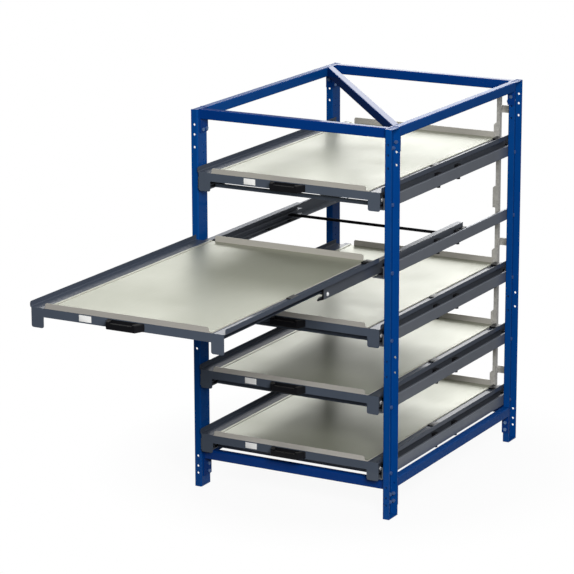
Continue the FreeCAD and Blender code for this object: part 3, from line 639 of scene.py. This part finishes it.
class RACK_OT_stage(bpy.types.Operator):
    """Sets the pale floor, the soft light and the camera"""
    bl_idname = "rack.stage"
    bl_label = "Stage"

    def execute(self, context):
        scene = context.scene
        scene.view_settings.view_transform = "Standard"
        self.floor(scene)
        self.world(scene)
        for name, settings in LAMPS.items():
            self.lamp(scene, name, *settings)
        self.camera(scene)
        return {"FINISHED"}

    def floor(self, scene):
        """Level disc just under the feet: x = r cos t, y = r sin t about the rack's middle."""
        rings, around = 5, 64
        radius, turn = np.meshgrid(np.linspace(FLOOR_RADIUS, FLOOR_HUB, rings),
                                   np.arange(around) * 2 * math.pi / around, indexing="ij")
        points = np.stack([radius * np.cos(turn), radius * np.sin(turn),
                           np.full_like(turn, -FLOOR_GAP)], axis=-1)
        quads, (_, hub) = ring_faces(rings, around)
        mesh = bpy.data.meshes.new("floor")
        mesh.from_pydata(points.reshape(-1, 3).tolist(), [], [*quads.tolist(), hub.tolist()])
        mesh.materials.append(self.floor_paint())
        made = bpy.data.objects.new("floor", mesh)
        scene.collection.objects.link(made)

    def floor_paint(self):
        """Pale matt paint that takes a shadow, and that fades to the white backdrop at its rim."""
        material, tree, place = new_finish("Studio floor, pale paint")
        path = add_node(tree, "ShaderNodeLightPath")
        seen = add_node(tree, "ShaderNodeMath", {
            0: (path, "Is Glossy Ray"), 1: FLOOR_MIRRORED, 2: (path, "Is Camera Ray")},
            operation="MULTIPLY_ADD")
        shown = add_node(tree, "ShaderNodeMath", {
            0: (seen, 0), 1: (path, "Is Transmission Ray")}, operation="MAXIMUM")
        reach = add_node(tree, "ShaderNodeVectorMath", {0: (place, "Object")}, operation="LENGTH")
        fade = add_node(tree, "ShaderNodeMapRange", {
            "Value": (reach, "Value"), "From Min": FLOOR_FADE_START, "From Max": FLOOR_RADIUS,
            "To Min": FLOOR_WHITE, "To Max": 1.0})
        share = add_node(tree, "ShaderNodeMath", {0: (shown, 0), 1: (fade, "Result")},
                         operation="MULTIPLY")
        tone = add_node(tree, "ShaderNodeMix", {
            MIX_SHARE: (path, "Is Diffuse Ray"),
            MIX_FIRST: linear("#FAFAFA"), MIX_SECOND: linear("#707070")}, data_type="RGBA")
        paint = add_node(tree, "ShaderNodeBsdfDiffuse", {"Color": (tone, MIX_COLOUR)})
        white = add_node(tree, "ShaderNodeEmission", {
            "Color": linear("#FFFFFF"), "Strength": 1.0})
        mix = add_node(tree, "ShaderNodeMixShader", {0: (share, 0), 1: (paint, 0), 2: (white, 0)})
        add_node(tree, "ShaderNodeOutputMaterial", {"Surface": (mix, 0)})
        return material

    def world(self, scene):
        """White backdrop for the camera; metal sees it behind the rack and a dim room in front."""
        world = bpy.data.worlds.new("Studio")
        scene.world = world
        world.use_nodes = True
        tree = world.node_tree
        tree.nodes.clear()
        path = add_node(tree, "ShaderNodeLightPath")
        place = add_node(tree, "ShaderNodeTexCoord")
        split = add_node(tree, "ShaderNodeSeparateXYZ", {"Vector": (place, "Generated")})
        band = {}
        for name, (axis, start, full, low, high) in BACKDROP_BANDS.items():
            band[name] = add_node(tree, "ShaderNodeMapRange", {
                "Value": (split, axis), "From Min": start, "From Max": full,
                "To Min": low, "To Max": high}, interpolation_type="SMOOTHSTEP")
        raised = add_node(tree, "ShaderNodeMath", {
            0: (band["above"], "Result"), 1: (band["inward"], "Result")}, operation="MULTIPLY")
        lit = add_node(tree, "ShaderNodeMath", {
            0: (raised, 0), 1: (band["beside"], "Result")}, operation="MAXIMUM")
        backdrop = add_node(tree, "ShaderNodeMath", {
            0: (band["behind"], "Result"), 1: (lit, 0)}, operation="MULTIPLY")
        room = add_node(tree, "ShaderNodeMapRange", {
            "Value": (backdrop, 0), "To Min": DIM_ROOM, "To Max": 1.0})
        filled = add_node(tree, "ShaderNodeMix", {
            MIX_SHARE: (path, "Is Diffuse Ray"), MIX_LOW: (room, "Result"), MIX_HIGH: FILL_LIGHT})
        soft = add_node(tree, "ShaderNodeMath", {
            0: (filled, MIX_LEVEL), 1: (path, "Is Camera Ray")}, operation="MAXIMUM")
        light = add_node(tree, "ShaderNodeBackground", {
            "Color": linear("#FFFFFF"), "Strength": (soft, 0)})
        add_node(tree, "ShaderNodeOutputWorld", {"Surface": (light, 0)})

    def lamp(self, scene, name, place, aim, size, power, mirrored):
        """Square soft lamp that faces a point."""
        data = bpy.data.lights.new(name, "AREA")
        data.size = size
        data.energy = power
        made = bpy.data.objects.new(name, data)
        made.location = place
        made.rotation_euler = (Vector(aim) - Vector(place)).to_track_quat("-Z", "Y").to_euler()
        made.visible_glossy = mirrored
        scene.collection.objects.link(made)

    def camera(self, scene):
        """Camera solved from the photo: it looks at the rack's middle along azimuth and elevation,
        rolled a little, and stands a small step aside and below that line."""
        azimuth, elevation, roll = (math.radians(turn) for turn in (28.97, 14.59, -0.17))
        distance, aside, above = 10.8221, -0.2911, -0.02475
        focal_px, image_px, sensor_mm = 2734.07, 574, 36
        middle = Vector((0, 0, 0.75))
        back = Vector((math.sin(azimuth) * math.cos(elevation),
                       -math.cos(azimuth) * math.cos(elevation), math.sin(elevation)))
        level = Vector((math.cos(azimuth), math.sin(azimuth), 0))
        upright = back.cross(level)
        right = math.cos(roll) * level + math.sin(roll) * upright
        up = -math.sin(roll) * level + math.cos(roll) * upright
        data = bpy.data.cameras.new("Camera")
        data.sensor_width = sensor_mm
        data.lens = focal_px * sensor_mm / image_px
        made = bpy.data.objects.new("Camera", data)
        place = back * distance + right * aside + up * above + middle
        turned = Matrix((right, up, back)).transposed().to_4x4()
        made.matrix_world = Matrix.Translation(place) @ turned
        scene.collection.objects.link(made)
        scene.camera = made


OPERATORS = (RACK_OT_frame, RACK_OT_bolts, RACK_OT_interlock, RACK_OT_rails, RACK_OT_trays,
             RACK_OT_cards, RACK_OT_plates, RACK_OT_clips, RACK_OT_hooks, RACK_OT_rivets,
             RACK_OT_stage)


class RACK_PT_panel(bpy.types.Panel):
    """Lists the rack's sizes, colours and steps"""
    bl_label = "Pull-out tray rack"
    bl_idname = "RACK_PT_panel"
    bl_space_type = "VIEW_3D"
    bl_region_type = "UI"
    bl_category = "Rack"

    def draw(self, context):
        for group in (context.scene.rack_colours, context.scene.rack_trim):
            for key in group.__annotations__:
                self.layout.prop(group, key)
        for operator in OPERATORS:
            self.layout.operator(operator.bl_idname)


CLASSES = (RackColours, RackTrim, *OPERATORS, RACK_PT_panel)


def register():
    for cls in CLASSES:
        bpy.utils.register_class(cls)
    bpy.types.Scene.rack_colours = bpy.props.PointerProperty(type=RackColours)
    bpy.types.Scene.rack_trim = bpy.props.PointerProperty(type=RackTrim)


def unregister():
    del bpy.types.Scene.rack_trim
    del bpy.types.Scene.rack_colours
    for cls in reversed(CLASSES):
        bpy.utils.unregister_class(cls)


def main():
    register()
    for operator in OPERATORS:
        group, name = operator.bl_idname.split(".")
        getattr(getattr(bpy.ops, group), name)()


if __name__ == "__main__":
    main()
